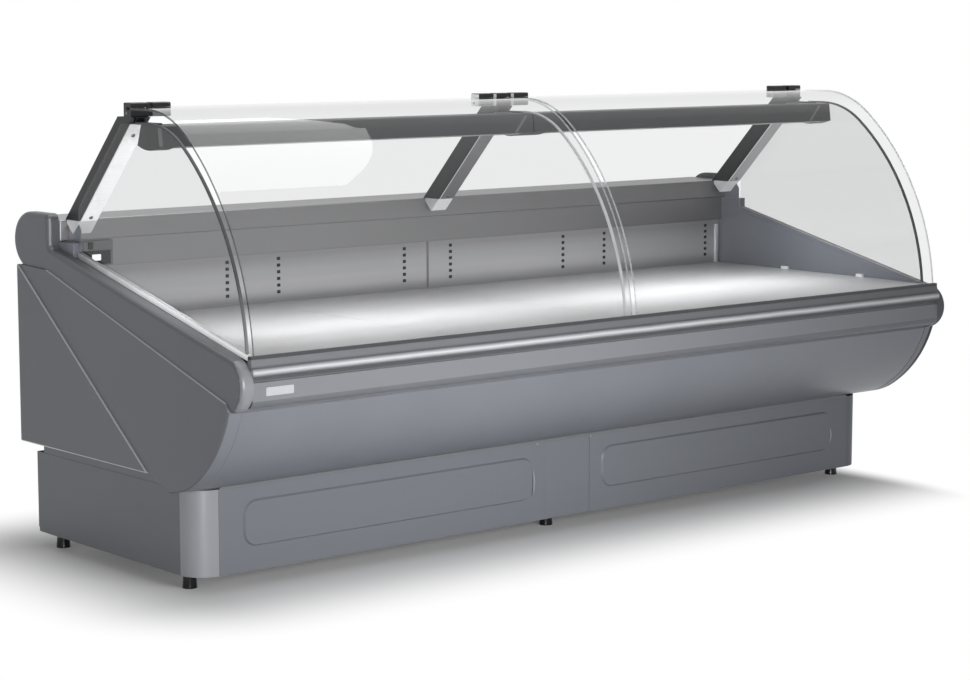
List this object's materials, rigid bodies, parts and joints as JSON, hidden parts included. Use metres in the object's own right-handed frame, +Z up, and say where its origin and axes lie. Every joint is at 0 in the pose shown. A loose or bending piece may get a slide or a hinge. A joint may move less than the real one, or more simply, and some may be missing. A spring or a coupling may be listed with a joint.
{
  "type": "refrigerated serve-over counter",
  "caption": "Long refrigerated meat counter with curved lifting front glass, sloped end panels, lit canopies on leaning posts, a rear worktop and a machine base on levelling feet.",
  "frame": {"origin": "on the floor, below the middle of the counter's overall box", "axes": "+X to the customer's right along the counter, +Y towards the operator's side, +Z up"},
  "size_m": [2.61, 1.077, 1.2198],
  "materials": {
    "end_plastic": "satin moulded plastic",
    "grey_skin": "satin grey paint",
    "tub_skin": "foam-filled panel, satin grey skin",
    "steel": "brushed",
    "aluminium": "satin anodised",
    "dark_metal": "satin graphite paint",
    "glass": "clear polished",
    "rubber": "matt",
    "white_plastic": "milky",
    "black_plastic": "satin",
    "fan_plastic": "matt",
    "iron": "black paint",
    "galvanised": "galvanised"
  },
  "bodies": {
    "cabinet": {"levelling_feet": "galvanised", "base_frame": "galvanised", "base_tray": "galvanised", "base_sides": "grey_skin", "base_corner_trims": "end_plastic", "base_front_panels": "grey_skin", "base_centre_cover": "end_plastic", "base_rear_grilles": "grey_skin", "compressor": "iron", "condenser_coil": "aluminium", "condenser_shroud": "galvanised", "condenser_motor": "dark_metal", "electrical_box": "white_plastic", "cable_gland": "black_plastic", "evaporation_tray": "black_plastic", "drain_pipe": "white_plastic", "tub_front_wall": "tub_skin", "tub_floor": "tub_skin", "tub_rear_wall": "tub_skin", "rear_panels": "tub_skin", "front_rail": "aluminium", "bumper_strip": "aluminium", "glass_rest_seal": "rubber", "deck_supports": "galvanised", "deck_pans": "steel", "deck_clips": "white_plastic", "back_walls": "steel", "air_outlet_band": "steel", "back_wall_trims": "aluminium", "worktop": "steel", "control_box": "end_plastic", "display_unit": "black_plastic", "evaporator_coil": "aluminium", "fan_plate": "galvanised", "evaporator_motors": "dark_metal", "end_panel_left": "end_plastic", "end_panel_right": "end_plastic", "end_liners": "tub_skin", "end_glass_channels": "aluminium", "end_glass": "glass", "end_glass_seals": "rubber", "centre_rib": "aluminium", "posts": "dark_metal", "post_strips": "aluminium", "post_feet": "white_plastic", "canopies": "dark_metal", "canopy_end_caps": "black_plastic", "lamp_lenses": "white_plastic", "canopy_brackets": "dark_metal", "hinge_brackets": "dark_metal", "hinge_pins": "steel"},
    "left_pane": {"front_glass_left": "glass", "glass_clamps_left": "dark_metal"},
    "right_pane": {"front_glass_right": "glass", "glass_clamps_right": "dark_metal"},
    "rocker": {"switch_rocker": "black_plastic"},
    "condenser_rotor": {"condenser_fan": "fan_plastic"},
    "evaporator_rotor_left": {"evaporator_fan_left": "fan_plastic"},
    "evaporator_rotor_right": {"evaporator_fan_right": "fan_plastic"}
  },
  "joints": [
    {"name": "left_pane_hinge", "type": "hinge", "parent": "cabinet", "child": "left_pane", "pos_m": [-0.63, 0.04499, 1.19271], "axis": [-1, 0, 0], "range_deg": [0, 70]},
    {"name": "right_pane_hinge", "type": "hinge", "parent": "cabinet", "child": "right_pane", "pos_m": [0.63, 0.04499, 1.19271], "axis": [-1, 0, 0], "range_deg": [0, 70]},
    {"name": "rocker_tilt", "type": "hinge", "parent": "cabinet", "child": "rocker", "pos_m": [-1.169, 0.3495, 0.8305], "axis": [-1, 0, 0], "range_deg": [0, 14]},
    {"name": "condenser_fan_spin", "type": "hinge", "parent": "cabinet", "child": "condenser_rotor", "pos_m": [0.3306, 0.3775, 0.157], "axis": [0, 1, 0], "continuous": true},
    {"name": "evaporator_fan_left_spin", "type": "hinge", "parent": "cabinet", "child": "evaporator_rotor_left", "pos_m": [-0.45, 0.02, 0.4275], "axis": [0, 1, 0], "continuous": true},
    {"name": "evaporator_fan_right_spin", "type": "hinge", "parent": "cabinet", "child": "evaporator_rotor_right", "pos_m": [0.45, 0.02, 0.4275], "axis": [0, 1, 0], "continuous": true}
  ]
}
